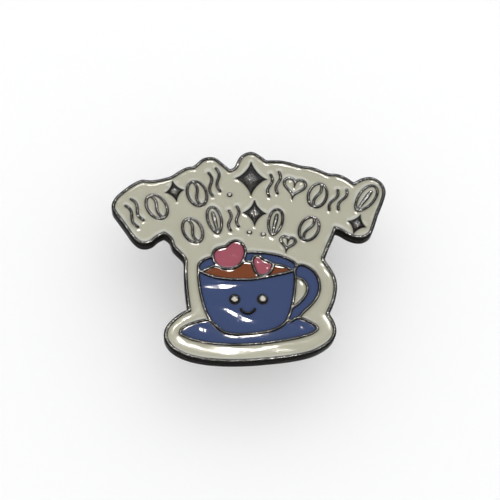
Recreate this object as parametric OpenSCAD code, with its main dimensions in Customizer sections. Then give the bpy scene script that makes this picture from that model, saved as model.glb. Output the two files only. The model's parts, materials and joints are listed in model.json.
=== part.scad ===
// Soft-enamel coffee-cup pin with two posts and two butterfly clutches.
// The pin lies face up and stands on the tips of its clutches' wings.

/* [Plate] */
// Width of the plate across its two lobes
pin_w = 32; // [24:0.5:45]
// Thickness of the struck metal plate
plate_t = 1.5; // [1.2:0.1:2.5]
// Depth of the pockets that hold the enamel
pocket_depth = 0.5; // [0.3:0.05:0.8]
// How far the enamel stays below the metal lines
enamel_drop = 0.12; // [0.05:0.01:0.2]
// Width of the metal rim round the plate
rim_w = 0.4; // [0.3:0.05:0.6]
// Width of the raised metal lines
line_w = 0.3; // [0.2:0.02:0.4]

/* [Posts] */
// Diameter of a post
post_d = 1.2; // [1:0.05:1.4]
// Length of a post from the back of the plate to its point
post_len = 7; // [6.5:0.25:8]
// Diameter of the flat head that is soldered to the plate
post_head_d = 4.6; // [3.5:0.1:5.4]
// Height of the upper post above the plate's middle
upper_post_y = 6.5; // [6.2:0.1:7]
// Depth of the lower post below the plate's middle
lower_post_y = 5.5; // [5.4:0.1:6]

/* [Clutches] */
// Diameter of a clutch
clutch_d = 11.4; // [11:0.1:11.6]
// Height of a clutch from its front plate to its wing tips
clutch_h = 5.9; // [5.4:0.1:6.5]
// Width of a wing
wing_w = 4.4; // [3.6:0.1:4.4]
// Angle of a wing from the plate
wing_angle = 75; // [70:1:80]

/* [Hidden] */
$fn = 64;

plate_nodes = ["base_plate", "background_enamel", "ornament_window_enamel", "cup_enamel",
    "saucer_enamel", "handle_enamel", "handle_window_enamel", "inner_wall_left_enamel",
    "inner_wall_middle_enamel", "inner_wall_right_enamel", "coffee_left_enamel",
    "coffee_right_enamel", "large_heart_enamel", "small_heart_enamel"];

nickel = [0.27, 0.26, 0.25];
steel = [0.72, 0.72, 0.72];
tin = [0.62, 0.62, 0.64];
cream = [0.78, 0.75, 0.65];
blue = [0.21, 0.27, 0.47];
brown = [0.48, 0.17, 0.05];
pink = [0.68, 0.31, 0.38];

// The outline and the artwork are drawn for a plate 32 mm wide.
art_scale = pin_w / 32;
steps = 3;

// Heights above the surface that the wing tips stand on
fabric_gap = 3;
clutch_z = clutch_h;
plate_z = clutch_z + fabric_gap;
pocket_z = plate_z + plate_t - pocket_depth;
enamel_t = pocket_depth - enamel_drop;

// Sheet thicknesses and levels inside a clutch, measured down from its front face
sheet_t = 0.3;
hole_r = 0.75;
rim_depth = 0.95;
lip_w = 0.55;
flange_play = 0.05;
leaf_t = 0.25;
leaf_depths = [0.82, 1.12];
spring_depth = 1.29;
spring_h = 0.3;
spring_t = 0.2;
spring_bow = [[-4.2, -0.9], [-2.6, 0.5], [0, 1.3], [2.6, 0.5], [4, -0.9]];
channel_depth = 1.65;
channel_half = 3.4;
channel_play = 0.15;
dome_r = 2.1;
dome_depth = 4.45;
jaw_play = 0.03;
jaw_travel = 0.55;
slot_half = 0.8;
leaf_reach = 2.6;
bend_x = 3.9;
bend_r = 0.6;
wing_curl = 0.35;
wing_corner_r = 1;

// Post details, measured up from the point
point_len = 1;
point_r = 0.15;
head_t = 0.3;
groove_r = 0.4;
groove_depths = [0.1, 1.45];
groove_ramp = 0.15;
solder_w = 0.5;

// ---- Curves ----

// A point of a list, with one more point mirrored past each end
function knot(p, i) =
    i < 0 ? 2 * p[0] - p[1] :
    i >= len(p) ? 2 * p[len(p) - 1] - p[len(p) - 2] : p[i];

// One stretch between b and c of the smooth curve through a, b, c and d
function stretch(a, b, c, d, t) =
    0.5 * (2 * b + (c - a) * t + (2 * a - 5 * b + 4 * c - d) * t * t
    + (3 * b - a - 3 * c + d) * t * t * t);

// Smooth curve through the points, without its last point, so that stretches chain into a loop
function curve(p) = [for (i = [0:len(p) - 2]) for (k = [0:steps - 1])
    stretch(knot(p, i - 1), p[i], p[i + 1], knot(p, i + 2), k / steps)];

// Smooth curve with its last point
function open_curve(p) = concat(curve(p), [p[len(p) - 1]]);

function backwards(p) = [for (i = [len(p) - 1:-1:0]) p[i]];
function unit(v) = v / norm(v);
function across(p, i) = let(d = unit(knot(p, i + 1) - knot(p, i - 1))) [-d.y, d.x];
function beside(p, gap) = [for (i = [0:len(p) - 1]) p[i] + gap * across(p, i)];

// Closed outline of a line of the given width that follows a path
function ribbon(p, w) = concat(beside(p, w / 2), backwards(beside(p, -w / 2)));

// ---- Outline of the plate, stretch by stretch, each between two corners ----

left_lobe = [[-9.85, 1.9], [-10.5, 1.5], [-11.1, 0.9], [-11.9, 0.6], [-12.7, 0.75],
    [-13.5, 1.45], [-14.3, 2.6], [-15.2, 3.85], [-15.85, 4.8], [-15.95, 5.7], [-15.5, 6.7],
    [-14.6, 7.65], [-13.6, 8.5], [-12.6, 9], [-11.6, 8.95], [-10.4, 9.2], [-9.3, 9.6],
    [-8.4, 10.3], [-7.5, 10.85], [-6.75, 11]];
left_shoulder = [[-6.75, 11], [-6.35, 11.4], [-5.7, 12.05], [-4.9, 12.35], [-4.1, 12.25],
    [-3.3, 11.6], [-2.4, 10.8]];
crown = [[-2.4, 10.8], [-1.9, 11.1], [-1.55, 11.95], [-1.1, 12.7], [-0.4, 13.15],
    [0.3, 13.25], [1, 12.9], [1.9, 12.2]];
right_shoulder = [[1.9, 12.2], [2.7, 12.22], [3.7, 12.22], [4.8, 12], [6, 11.65], [7.3, 11.5],
    [8.4, 11.1], [9.3, 10.72], [10.3, 10.68], [11.3, 10.3], [12.25, 9.6]];
right_lobe = [[12.25, 9.6], [13.1, 10.15], [14.1, 10.42], [15, 10.2], [15.75, 9.45], [16, 8.4],
    [15.6, 6.95], [15, 5.5], [14.5, 4], [14, 2.85], [13.1, 2.25], [12.1, 2.25], [11.1, 2.65],
    [10.5, 3.05], [9.95, 3.25]];
right_side = [[9.95, 3.25], [9.65, 2.4], [9.1, 1.15], [8.75, 0.15], [8.52, -0.5], [9.1, -1.5],
    [9.65, -2.6], [9.83, -4], [9.5, -5.7], [8.85, -7.15]];
foot = [[8.85, -7.15], [9.35, -8.1], [9.58, -9.1], [9.3, -10.15], [8.4, -11.1], [6.8, -11.98],
    [4.6, -12.55], [2.1, -12.92], [-0.4, -13.18], [-2.8, -13.26], [-5.2, -13.1], [-7.2, -12.62],
    [-8.7, -11.75], [-9.45, -10.5], [-9.3, -9.3], [-8.5, -8.25], [-7.6, -7.5], [-6.97, -7.15]];
left_side = [[-6.97, -7.15], [-7.2, -5.7], [-7.4, -3.9], [-7.5, -2.2], [-7.55, -1.1],
    [-8.1, -0.4], [-8.85, 0.4], [-9.2, 1.35], [-9.85, 1.9]];
plate_outline = [for (s = [left_lobe, left_shoulder, crown, right_shoulder, right_lobe,
    right_side, foot, left_side]) each curve(s)];

// ---- Picture: every curve is the middle of a raised metal line ----

rim_left = [-5.85, -2.3];
rim_right = [5.05, -2];
cup_side = [rim_left, [-5.8, -3.4], [-5.55, -5.1], [-5.1, -6.85], [-4.5, -8.2], [-3.8, -9],
    [-2.8, -9.75], [-1.15, -9.95], [1.05, -9.7], [2.7, -9.25], [3.75, -8.55], [4.3, -7.65],
    [4.7, -6.3], [5, -4.5], [5.1, -3], rim_right];
front_rim = [rim_left, [-5.1, -2.77], [-4.3, -3.05], [-3.4, -3.25], [-2.3, -3.35],
    [-1.15, -3.35], [0, -3.3], [1.1, -3.1], [2.2, -2.85], [3.35, -2.55], [4.25, -2.3], rim_right];
back_rim = [rim_left, [-5.8, -1.65], [-5.45, -1.2], [-4.9, -0.87], [-4.3, -0.65], [-2.4, -0.15],
    [-0.5, 0.05], [1.1, 0.08], [2.9, -0.13], [3.85, -0.4], [4.5, -0.7], [5, -1.05], [5.25, -1.5],
    rim_right];
coffee_edge = [[-5.5, -2.6], [-5, -2.23], [-4.4, -1.9], [-3.8, -1.75], [-2.4, -1.35],
    [-0.7, -1.08], [0.5, -1.15], [2.5, -1.3], [3.7, -1.5], [4.3, -1.75], [4.75, -2.12]];
large_heart = [[-2.77, 0.71], [-3.3, 0.6], [-3.85, 0.38], [-4.2, -0.1], [-4.23, -0.8],
    [-3.85, -1.55], [-3.25, -1.95], [-2.3, -2.05], [-1.4, -1.7], [-0.85, -1.05], [-0.57, -0.2],
    [-0.65, 0.65], [-1.05, 1.25], [-1.6, 1.47], [-2.15, 1.3], [-2.55, 0.98], [-2.77, 0.71]];
small_heart = [[1.5, -0.78], [2.05, -1], [2.5, -1.28], [2.57, -1.65], [2.3, -2.25],
    [1.85, -2.65], [1.3, -2.8], [0.8, -2.6], [0.47, -2], [0.27, -1.3], [0.28, -0.75],
    [0.6, -0.33], [1.05, -0.4], [1.5, -0.78]];
handle_outer = [[4.6, -1.6], [5.35, -1.4], [5.9, -1.32], [6.55, -1.55], [7.15, -2], [7.6, -2.7],
    [7.83, -3.6], [7.75, -4.6], [7.3, -5.6], [6.6, -6.45], [5.9, -7.15], [5.3, -7.8], [4, -8.6]];
handle_inner = [[4.6, -2.8], [5.3, -2.92], [5.85, -3.1], [6.3, -3.6], [6.45, -4.3],
    [6.2, -5.05], [5.65, -5.8], [5, -6.37], [4.2, -6.9]];
saucer_top = [[-7.7, -9.9], [-7.55, -9.5], [-7.05, -9.1], [-6.4, -8.78], [-5.65, -8.53],
    [-4.5, -8.32], [0, -8.1], [4.2, -8.2], [4.85, -7.95], [5.4, -7.77]];
saucer_tip = [[5.4, -7.77], [6, -7.95], [6.55, -8.2], [7.1, -8.52], [7.42, -8.85], [7.4, -9.15],
    [7, -9.48], [6.35, -9.8], [5.5, -10.08], [4.35, -10.38], [2.15, -10.8], [-0.05, -11.07],
    [-2.2, -11.17], [-4.4, -11.05], [-6.2, -10.72], [-7.1, -10.38], [-7.6, -10.12], [-7.7, -9.9]];
smile = [[-1, -6.95], [-0.8, -7.25], [-0.3, -7.42], [0.2, -7.25], [0.5, -6.9]];
eyes = [[-1.74, -5.77], [1.38, -5.66]];
eye_r = 0.5;

// Where the big heart and the small heart part the surfaces behind them
heart_splits = [-2.3, 1.2];

// ---- Ornaments: kind, x, y, tilt in degrees and height ----

ornaments = [
    ["steam", -13.3, 4.6, 30, 3.6], ["bean", -10.8, 5.5, 30, 3.3], ["sparkle", -8.8, 7.6, 12, 2.2],
    ["bean", -6.2, 7.4, 18, 3.3], ["steam", -4.2, 9, 10, 3.6], ["dot", -2.4, 7.4, 0, 0.6],
    ["sparkle", 0.1, 9.6, 0, 4], ["steam", 2.8, 9, -4, 3.4], ["heart", 5.2, 8.8, -10, 2.4],
    ["bean", 7.9, 7.7, -18, 3.2], ["steam", 10.3, 7.2, -22, 3.4], ["sparkle", 12.4, 4.1, -20, 2.2],
    ["leaf", 13.6, 7.5, -35, 4],
    ["bean", -6.6, 2.6, 25, 3.2], ["leaf", -4.1, 4, 14, 3.4], ["steam", -1.9, 4.3, 5, 3],
    ["dot", -0.1, 2.6, 0, 0.6], ["sparkle", 0.5, 5.1, 0, 2.8], ["dot", 1.5, 2.4, 0, 0.6],
    ["leaf", 2.9, 4, -12, 3.4], ["heart", 4.3, 1.5, -10, 1.6], ["bean", 6.8, 3.3, -25, 3.2]];

// Gap between the two lines of a wisp of steam, and how much higher the right one is
steam_gap = 0.95;
steam_lift = 0.5;

// Smooth curves of a bean, a leaf, a heart and a sparkle, one unit high, and a wavy line
wave_steps = 18;
function oval(half_w) = [for (a = [0:18:342]) [half_w * cos(a), 0.5 * sin(a)]];
function lens(half_w) = [for (a = [0:15:345]) [half_w * sin(a) * pow(abs(sin(a / 2)), 0.3),
    -0.5 * cos(a)]];
function heart() = [for (a = [0:15:345])
    [16 * pow(sin(a), 3), 13 * cos(a) - 5 * cos(2 * a) - 2 * cos(3 * a) - cos(4 * a)] / 30];
function star() = [for (a = [0:15:345])
    [0.42 * pow(abs(cos(a)), 2.6) * sign(cos(a)), 0.5 * pow(abs(sin(a)), 2.6) * sign(sin(a))]];
function wave(width, turns, reach) = [for (k = [0:wave_steps])
    [width * sin(360 * turns * (k / wave_steps - 0.5)), reach * (k / wave_steps - 0.5)]];

// A raised line along a path, with round ends
module stroke(path) {
    polygon(ribbon(path, line_w / art_scale));
    for (end = [path[0], path[len(path) - 1]]) translate(end) circle(d = line_w / art_scale, $fn = 12);
}

// The closed shape inside an ornament's raised line
module ornament_shape(kind, h) {
    if (kind == "bean") polygon(h * oval(0.33));
    if (kind == "leaf") polygon(h * lens(0.25));
    if (kind == "heart") polygon(h * heart());
}

// The lines of an ornament that enclose nothing
module ornament_lines(kind, h) {
    if (kind == "bean") stroke(h * wave(0.07, 1, 0.98));
    if (kind == "leaf") stroke([[0, -0.5 * h], [0, 0.3 * h]]);
    if (kind == "steam") for (side = [-1, 1]) translate([side * steam_gap / 2, side * steam_lift / 2])
        stroke(h * wave(0.07, 1, 0.85));
    if (kind == "sparkle") offset(delta = 0.1) polygon(h * star());
    if (kind == "dot") circle(d = h, $fn = 24);
}

module each_ornament() {
    for (o = ornaments) translate([o[1], o[2]]) rotate(o[3]) {
        $kind = o[0];
        $h = o[4];
        children();
    }
}

// ---- Flat regions, drawn for a plate 32 mm wide ----

module cup_front() { polygon(concat(curve(cup_side), backwards(open_curve(front_rim)))); }
module cup_mouth() { polygon(concat(curve(back_rim), backwards(open_curve(front_rim)))); }
module coffee() { polygon(concat(open_curve(coffee_edge), [[4.9, -3.5], [-5.5, -3.5]])); }
module hearts() { polygon(curve(large_heart)); polygon(curve(small_heart)); }
module saucer() { polygon(concat(curve(saucer_top), curve(saucer_tip))); }
module handle_loop() { polygon(open_curve(handle_outer)); }
module handle_hole() { polygon(open_curve(handle_inner)); }

// A region pulled in to leave half a line all round
module cell() { offset(delta = -line_w / art_scale / 2) children(); }

module face() {
    for (e = eyes) translate(e) circle(r = eye_r, $fn = 24);
    stroke(open_curve(smile));
}

module picture() {
    offset(delta = line_w / art_scale / 2)
        union() { cup_front(); cup_mouth(); hearts(); saucer(); handle_loop(); }
}

module background_cell() {
    difference() {
        offset(delta = -rim_w / art_scale) polygon(plate_outline);
        picture();
        each_ornament() {
            offset(delta = line_w / art_scale / 2) ornament_shape($kind, $h);
            ornament_lines($kind, $h);
        }
    }
}

module ornament_cells() {
    each_ornament() difference() {
        cell() ornament_shape($kind, $h);
        ornament_lines($kind, $h);
    }
}

module cup_cell() { difference() { cell() cup_front(); face(); } }
module saucer_cell() { cell() difference() { saucer(); cup_front(); } }

module handle_cell() {
    cell() difference() { handle_loop(); cup_front(); cup_mouth(); saucer(); handle_hole(); }
}

module handle_window_cell() { cell() difference() { handle_hole(); cup_front(); } }

module inner_wall_cells() {
    cell() difference() { cup_mouth(); coffee(); hearts(); }
}

module coffee_cells() {
    cell() difference() { intersection() { coffee(); cup_mouth(); } hearts(); }
}

// The part of a region between two upright lines
module between(x0, x1) {
    intersection() { children(); translate([x0, -5]) square([x1 - x0, 7]); }
}

module all_cells() {
    background_cell();
    ornament_cells();
    cup_cell();
    saucer_cell();
    handle_cell();
    handle_window_cell();
    inner_wall_cells();
    coffee_cells();
    cell() hearts();
}

// ---- Plate and enamel ----

// A flat region at its real size; the offset of nothing keeps its loops as they are
module real_size() { offset(delta = 0) scale([art_scale, art_scale]) children(); }

module base_plate() {
    color(nickel) difference() {
        translate([0, 0, plate_z]) linear_extrude(plate_t) real_size() polygon(plate_outline);
        translate([0, 0, pocket_z]) linear_extrude(plate_t) real_size() all_cells();
    }
}

module enamel() { translate([0, 0, pocket_z]) linear_extrude(enamel_t) real_size() children(); }

module background_enamel() { color(cream) enamel() background_cell(); }
module ornament_window_enamel() { color(cream) enamel() ornament_cells(); }
module cup_enamel() { color(blue) enamel() cup_cell(); }
module saucer_enamel() { color(blue) enamel() saucer_cell(); }
module handle_enamel() { color(blue) enamel() handle_cell(); }
module handle_window_enamel() { color(cream) enamel() handle_window_cell(); }
module large_heart_enamel() { color(pink) enamel() cell() polygon(curve(large_heart)); }
module small_heart_enamel() { color(pink) enamel() cell() polygon(curve(small_heart)); }

module inner_wall_enamel(x0, x1) { color(blue) enamel() between(x0, x1) inner_wall_cells(); }
module coffee_enamel(x0, x1) { color(brown) enamel() between(x0, x1) coffee_cells(); }

// ---- Posts ----

// Half profile of a post that hangs from the plate's back at z = 0
module post_profile() {
    r = post_d / 2;
    polygon([[0, 0], [post_head_d / 2, 0], [post_head_d / 2, -head_t], [r, -head_t],
        [r, -fabric_gap - groove_depths[0]], [groove_r, -fabric_gap - groove_depths[0] - groove_ramp],
        [groove_r, -fabric_gap - groove_depths[1] + groove_ramp], [r, -fabric_gap - groove_depths[1]],
        [r, point_len - post_len], [point_r, -post_len], [0, -post_len]]);
}

module post(y) { color(steel) translate([0, y, plate_z]) rotate_extrude() post_profile(); }

// Ring of solder round a post's head
module solder(y) {
    color(tin) translate([0, y, plate_z]) rotate_extrude() polygon([[post_head_d / 2, 0],
        [post_head_d / 2 + solder_w, 0], [post_head_d / 2 + solder_w * 0.35, -head_t * 0.45],
        [post_head_d / 2, -head_t * 0.9]]);
}

// ---- Butterfly clutches, drawn hanging from z = 0 ----

module in_clutch(y) { translate([0, y, clutch_z]) children(); }

// Front disc with a hole for the post and a rim rolled over the cap's flange
module clutch_plate(y) {
    r = clutch_d / 2;
    color(steel) in_clutch(y) rotate_extrude() polygon([[hole_r, 0], [r - 0.25, 0], [r - 0.07, -0.08],
        [r, -0.25], [r, -rim_depth + 0.2], [r - 0.15, -rim_depth], [r - lip_w, -rim_depth],
        [r - lip_w, -2 * sheet_t - flange_play], [r - 0.3, -2 * sheet_t - flange_play],
        [r - 0.3, -sheet_t], [hole_r, -sheet_t]]);
}

// Cap with an open-ended channel for the jaws and a dome over the post's point
module clutch_cap(y) {
    inner_half = wing_w / 2 + channel_play;
    outer_half = inner_half + sheet_t;
    dome_h = dome_depth - dome_r;
    color(steel) in_clutch(y) difference() {
        union() {
            translate([0, 0, -2 * sheet_t]) cylinder(r = clutch_d / 2 - 0.35, h = sheet_t);
            translate([-channel_half, -outer_half, -channel_depth - sheet_t])
                cube([2 * channel_half, 2 * outer_half, channel_depth]);
            translate([0, 0, -dome_h]) cylinder(r = dome_r, h = dome_h - sheet_t);
            translate([0, 0, -dome_h]) sphere(r = dome_r);
        }
        translate([-clutch_d, -inner_half, -channel_depth])
            cube([2 * clutch_d, 2 * inner_half, channel_depth]);
        translate([0, 0, -dome_h]) cylinder(r = dome_r - sheet_t, h = dome_h);
        translate([0, 0, -dome_h]) sphere(r = dome_r - sheet_t);
    }
}

// Side view of a jaw leaf and its wing, for a wing that points towards +X
function wing_path(depth) = concat(
    [[-leaf_reach, -depth], [0, -depth]],
    [for (a = [0:wing_angle / 8:wing_angle]) [bend_x + bend_r * sin(a), -depth - bend_r * (1 - cos(a))]],
    [for (f = [0.35, 0.7, 1]) let(down = f * clutch_h)
        [bend_x + bend_r * sin(wing_angle) + down / tan(wing_angle) + wing_curl * f * f,
        -depth - bend_r * (1 - cos(wing_angle)) - down]]);

// Leaf with a slot for the post, and its wing, trimmed level at the tip
module wing(y, side) {
    depth = leaf_depths[side < 0 ? 0 : 1];
    color(steel) in_clutch(y) rotate([0, 0, side < 0 ? 180 : 0]) difference() {
        rotate([90, 0, 0]) linear_extrude(wing_w, center = true) polygon(ribbon(wing_path(depth), leaf_t));
        translate([-post_d / 2 - jaw_play, -slot_half, -2])
            cube([post_d + 2 * jaw_play + jaw_travel + 0.1, 2 * slot_half, 2]);
        translate([0, -wing_w, -2 * clutch_h]) cube([2 * clutch_d, 2 * wing_w, clutch_h]);
        for (m = [0, 1]) mirror([0, m, 0])
            translate([0, wing_w / 2 - wing_corner_r, wing_corner_r - clutch_h])
            rotate([0, 90, 0]) difference() {
                cube([3 * wing_corner_r, 3 * wing_corner_r, clutch_d]);
                cylinder(r = wing_corner_r, h = 3 * clutch_d, center = true);
            }
    }
}

// Bowed strip that pushes the two wings apart
module clutch_spring(y) {
    color(steel) in_clutch(y) translate([0, 0, -spring_depth - spring_h])
        linear_extrude(spring_h) polygon(ribbon(open_curve(spring_bow), spring_t));
}

base_plate();
background_enamel();
ornament_window_enamel();
cup_enamel();
saucer_enamel();
handle_enamel();
handle_window_enamel();
inner_wall_enamel(-7, heart_splits[0]);  // inner_wall_left_enamel
inner_wall_enamel(heart_splits[0], heart_splits[1]);  // inner_wall_middle_enamel
inner_wall_enamel(heart_splits[1], 7);  // inner_wall_right_enamel
coffee_enamel(-7, heart_splits[1]);  // coffee_left_enamel
coffee_enamel(heart_splits[1], 7);  // coffee_right_enamel
large_heart_enamel();
small_heart_enamel();

post(upper_post_y);  // upper_post
solder(upper_post_y);  // upper_solder
clutch_plate(upper_post_y);  // upper_clutch_plate
clutch_cap(upper_post_y);  // upper_clutch_cap
clutch_spring(upper_post_y);  // upper_clutch_spring
wing(upper_post_y, -1);  // upper_left_wing
wing(upper_post_y, 1);  // upper_right_wing

post(-lower_post_y);  // lower_post
solder(-lower_post_y);  // lower_solder
clutch_plate(-lower_post_y);  // lower_clutch_plate
clutch_cap(-lower_post_y);  // lower_clutch_cap
clutch_spring(-lower_post_y);  // lower_clutch_spring
wing(-lower_post_y, -1);  // lower_left_wing
wing(-lower_post_y, 1);  // lower_right_wing
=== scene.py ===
"""Soft-enamel coffee-cup pin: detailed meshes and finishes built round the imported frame."""

import json
import math

import bpy
import numpy as np
from mathutils import Matrix, Vector, geometry, kdtree, noise


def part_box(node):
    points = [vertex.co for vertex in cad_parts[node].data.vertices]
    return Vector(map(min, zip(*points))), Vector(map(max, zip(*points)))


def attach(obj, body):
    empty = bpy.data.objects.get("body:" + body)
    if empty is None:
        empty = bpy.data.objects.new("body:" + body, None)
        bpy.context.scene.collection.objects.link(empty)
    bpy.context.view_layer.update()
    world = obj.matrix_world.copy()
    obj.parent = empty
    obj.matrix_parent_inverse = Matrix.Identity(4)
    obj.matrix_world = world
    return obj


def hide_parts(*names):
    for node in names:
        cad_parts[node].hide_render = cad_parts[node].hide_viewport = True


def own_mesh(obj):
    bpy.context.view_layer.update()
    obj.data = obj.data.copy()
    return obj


bl_info = {
    "name": "Enamel Pin",
    "version": (1, 0, 0),
    "blender": (4, 5, 0),
    "location": "3D View > Sidebar > Pin",
    "description": "Builds a soft-enamel pin with posts and butterfly clutches",
    "category": "Add Mesh",
}

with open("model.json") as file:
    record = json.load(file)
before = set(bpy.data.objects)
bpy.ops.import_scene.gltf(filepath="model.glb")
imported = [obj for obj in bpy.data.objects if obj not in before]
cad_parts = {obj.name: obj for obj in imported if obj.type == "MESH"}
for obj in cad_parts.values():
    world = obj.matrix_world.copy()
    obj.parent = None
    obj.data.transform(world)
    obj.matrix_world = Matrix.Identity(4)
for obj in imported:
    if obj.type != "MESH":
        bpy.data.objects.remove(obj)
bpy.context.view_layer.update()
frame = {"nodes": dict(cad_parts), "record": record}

MM = 0.001
LEVELS = ("upper", "lower")
SIDES = ("left", "right")
PLATE_LOW, PLATE_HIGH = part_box("base_plate")
POCKET_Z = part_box("background_enamel")[0].z
TOP_Z = PLATE_HIGH.z
LATHE_SEGMENTS = 120
ROUND_STEPS = 3
BEND_STEPS = 4
POST_R = frame["record"]["mounts"][0]["dims"]["r_mm"] * MM

CREAM_NODES = ("background_enamel", "handle_window_enamel", "ornament_window_enamel")
BLUE_NODES = ("cup_enamel", "saucer_enamel", "handle_enamel", "inner_wall_left_enamel",
              "inner_wall_middle_enamel", "inner_wall_right_enamel")
BROWN_NODES = ("coffee_left_enamel", "coffee_right_enamel")
PINK_NODES = ("large_heart_enamel", "small_heart_enamel")

# Each colour's fills: the nodes, the haze of the gloss, and how far and how high the enamel creeps up
# the lines as shares of the settings
FILLS = {
    "cream": (CREAM_NODES, 0.12, 1.0, 1.0),
    "blue": (BLUE_NODES, 0.05, 0.65, 0.05),
    "brown": (BROWN_NODES, 0.05, 0.6, 0.15),
    "pink": (PINK_NODES, 0.05, 0.7, 0.25),
}

# Solid ornaments and domes in the plate: a loop's roundness is 1 for a circle
DOT_ROUNDNESS = 0.9
SPARKLE_ROUNDNESS = 0.3
LARGEST_SOLID_R = 1.5 * MM
DOT_REACH, DOT_CROWN = 0.5, 0.13 * MM
SPARKLE_REACH, SPARKLE_CROWN = 0.6, 0.15 * MM
RIM_CROWN = 0.8
PLATE_GRID = 0.22 * MM
BACK_GRID = 0.5 * MM
BACK_RINGS = (0.08 * MM, 0.25 * MM)
BACK_BEVEL = 0.10 * MM

# The side of the plate: how far in and how far down each row of points lies, its waviness and its mark
SIDE_ROWS = ((0.0, 0.35), (0.004 * MM, 0.7))
SIDE_WAVE = 0.004 * MM
# The side's mark paints it near-black as painted shade, with faint painted glints
SIDE_MARK = 0.63
BACK_MARK = -1.0

# The fills: rows of points by their depth as shares of the creep, and reaches of what fades from an edge
FILL_ROWS = (0.12, 0.3, 0.6, 1.0, 1.6, 2.4)
FILL_GRID = 0.3 * MM
SAG_REACH = 1.3 * MM
SWELL_REACH = 0.3 * MM
SHADE_REACH = 0.16 * MM
EYE_RING = 0.13 * MM
FILL_WAVE = 0.006 * MM
DOT_CLIMB, SMILE_CLIMB, ORNAMENT_CLIMB = 0.25, 0.4, 0.9

# Posts, in millimetres down from the plate's back
AXIS_R = 0.001
HEAD_T = 0.30
NECK_START, NECK_END = 3.10, 4.45
NECK_RAMP, NECK_CUT = 0.15, 0.20
POINT_LEN, POINT_R = 1.0, 0.15
SOLDER_LAP, SOLDER_H, SOLDER_SHAKE = 0.05, 0.25, 0.06

# Clutches' front plates, in millimetres from the post's axis and down from the front
HOLE_R = 0.75
SHEET_T = 0.30
DISH_IN, DISH_OUT, DISH_RAMP, DISH_DEEP = 1.75, 3.40, 0.20, 0.07
GROOVE_R, GROOVE_HALF, GROOVE_DEEP = 4.25, 0.15, 0.05
LIP_W = 0.55
LIP_LEVEL = 0.65

# Edges of the sheet metal
SHEET_CORNER_DEG = 35
WELD_GAP = 0.0005 * MM
SPRING_ROUND = 0.04 * MM
SPRING_STEP = 0.08 * MM

SENSOR_MM = 36

# Light panels: place from the face's middle, width and height in metres, brightness, colour, and
# whether the panel lights surfaces or only shows in their gloss. Only the ceiling casts shadows
PANELS = {
    "lamp_left": ((-0.027, 0.095, 0.42), 0.03, 0.045, 60, (1.0, 0.96, 0.90), False),
    "lamp_right": ((0.027, 0.095, 0.42), 0.03, 0.045, 60, (1.0, 0.96, 0.90), True),
    "window": ((0.04, 0.46, 0.36), 0.50, 0.36, 2.6, (0.84, 0.89, 1.0), False),
    "ceiling": ((0.0, 0.10, 0.90), 1.10, 1.10, 0.36, (1.0, 0.99, 0.97), True),
    "side_left": ((-0.70, 0.0, 0.45), 0.80, 0.45, 0.7, (1.0, 1.0, 1.0), False),
    "side_right": ((0.70, 0.0, 0.45), 0.80, 0.45, 0.7, (1.0, 1.0, 1.0), False),
}

# The floor's flat part and the radius of its sweep in metres, and the room's even light
FLAT_R = 0.9
SWEEP_R = 0.5
ROOM_COLOUR = (0.97, 0.98, 1.0)
ROOM_STRENGTH = 0.87

# Low swells left in a fill as it dried: place from the fill's middle, angle in degrees, half length,
# half width and height, in millimetres
SWELLS = {
    "cup_enamel": [(-3.0, 2.1, 9, 2.3, 0.36, 0.060), (-1.1, -1.3, -20, 2.0, 0.34, 0.055)],
    "saucer_enamel": [(-5.1, 0.25, -6, 0.45, 0.28, 0.044), (6.0, 0.75, 10, 0.3, 0.24, 0.038),
                      (-1.9, -0.4, 0, 0.7, 0.22, 0.036)],
    "large_heart_enamel": [(0.65, 0.2, 10, 0.55, 0.36, 0.055)],
    "small_heart_enamel": [(-0.5, 0.55, 50, 0.35, 0.25, 0.04), (0.45, -0.1, 30, 0.3, 0.22, 0.035)],
    "coffee_left_enamel": [(2.2, 0.1, 70, 0.3, 0.2, 0.035), (-2.0, 0.0, 20, 0.4, 0.2, 0.03)],
    "coffee_right_enamel": [(0.3, 0.0, 30, 0.35, 0.22, 0.036)],
    "background_enamel": [(-4.3, -11.3, -9, 3.4, 0.42, 0.05), (-8.4, -8.6, 40, 1.2, 0.4, 0.05),
                          (4.5, -11.4, 12, 2.4, 0.4, 0.045), (-13.2, 7.2, 30, 1.4, 0.4, 0.05),
                          (7.4, 10.4, -14, 2.4, 0.4, 0.05), (14.8, 8.8, -60, 1.2, 0.4, 0.05),
                          (-9.5, 8.3, 25, 1.4, 0.35, 0.045), (9.0, -1.2, -60, 1.2, 0.35, 0.045)],
}


# ---- Settings ----

def length(name, about, default):
    """A length that a user can change, in metres."""
    return bpy.props.FloatProperty(name=name, description=about, default=default, min=0,
                                   unit="LENGTH", precision=5)


def place(name, about, default):
    """A place in metres."""
    return bpy.props.FloatVectorProperty(name=name, description=about, default=default, size=3,
                                         unit="LENGTH", precision=5)


def tint(name, about, default):
    """A linear colour."""
    return bpy.props.FloatVectorProperty(name=name, description=about, default=default, min=0, max=1,
                                         size=3, subtype="COLOR")


class PIN_PG_plate(bpy.types.PropertyGroup):
    """The struck plate and its plating."""

    metal: tint("Plating", "Colour of the black-nickel plating", (0.33, 0.315, 0.295))
    rim_round: length("Rim rounding", "Radius of the plate's outer edge", 0.20 * MM)
    line_round: length("Line rounding", "How far the round of a raised line reaches in", 0.14 * MM)
    line_crown: length("Line crown", "Height of the round top of a raised line", 0.11 * MM)
    ripple: length("Ripple", "Height of the plating's unevenness", 0.006 * MM)
    edge_step: length("Edge step", "Spacing of points along the edges", 0.11 * MM)


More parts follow.
